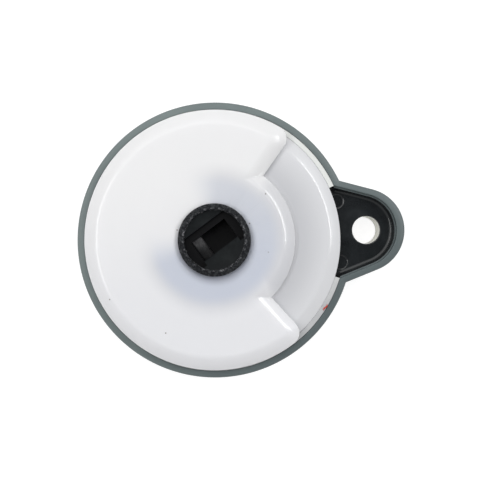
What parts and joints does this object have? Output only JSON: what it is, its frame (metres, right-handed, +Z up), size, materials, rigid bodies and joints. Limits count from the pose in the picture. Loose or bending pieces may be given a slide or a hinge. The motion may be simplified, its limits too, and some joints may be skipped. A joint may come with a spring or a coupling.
{
  "type": "ice fishing line reel",
  "caption": "Round hand-sized line reel for ice fishing: dished base with a line eye on a lug, windowed guard, free-turning spool and socketed hub.",
  "frame": {"origin": "on the spool's axis, in the plane that the base rests on", "axes": "+Z up along the spool's axis, +X along the lug that carries the line eye"},
  "size_m": [0.0714, 0.06, 0.0129],
  "materials": {
    "case_black": "satin blue-black moulded plastic",
    "guard_milky": "semi-gloss milky plastic",
    "spool_white": "semi-gloss white plastic",
    "hub_black": "semi-gloss black plastic",
    "liner_pale": "pale grey plastic",
    "bearing_plastic": "unfilled acetal",
    "brake_grey": "blue-grey plastic",
    "felt": "pressed felt",
    "line_red": "braided line",
    "steel": "plain stainless steel",
    "brass": "turned brass"
  },
  "bodies": {
    "case": {"base": "case_black", "guard_cover": "guard_milky", "eye_liner": "liner_pale", "bearing_bush": "bearing_plastic", "thrust_washer": "bearing_plastic", "brake_ring": "brake_grey", "brake_pad": "felt", "stem_seal": "felt", "bottom_plug": "case_black"},
    "reel": {"spool_core": "spool_white", "spool_flange": "spool_white", "flange_screws": "steel", "wound_line": "line_red", "line_knot": "line_red", "hub": "hub_black", "threaded_insert": "brass", "axle_screw": "steel", "screw_washer": "steel"}
  },
  "joints": [
    {"name": "spool_turn", "type": "hinge", "parent": "case", "child": "reel", "pos_m": [0, 0, 0.0033], "axis": [0, 0, 1], "continuous": true}
  ]
}
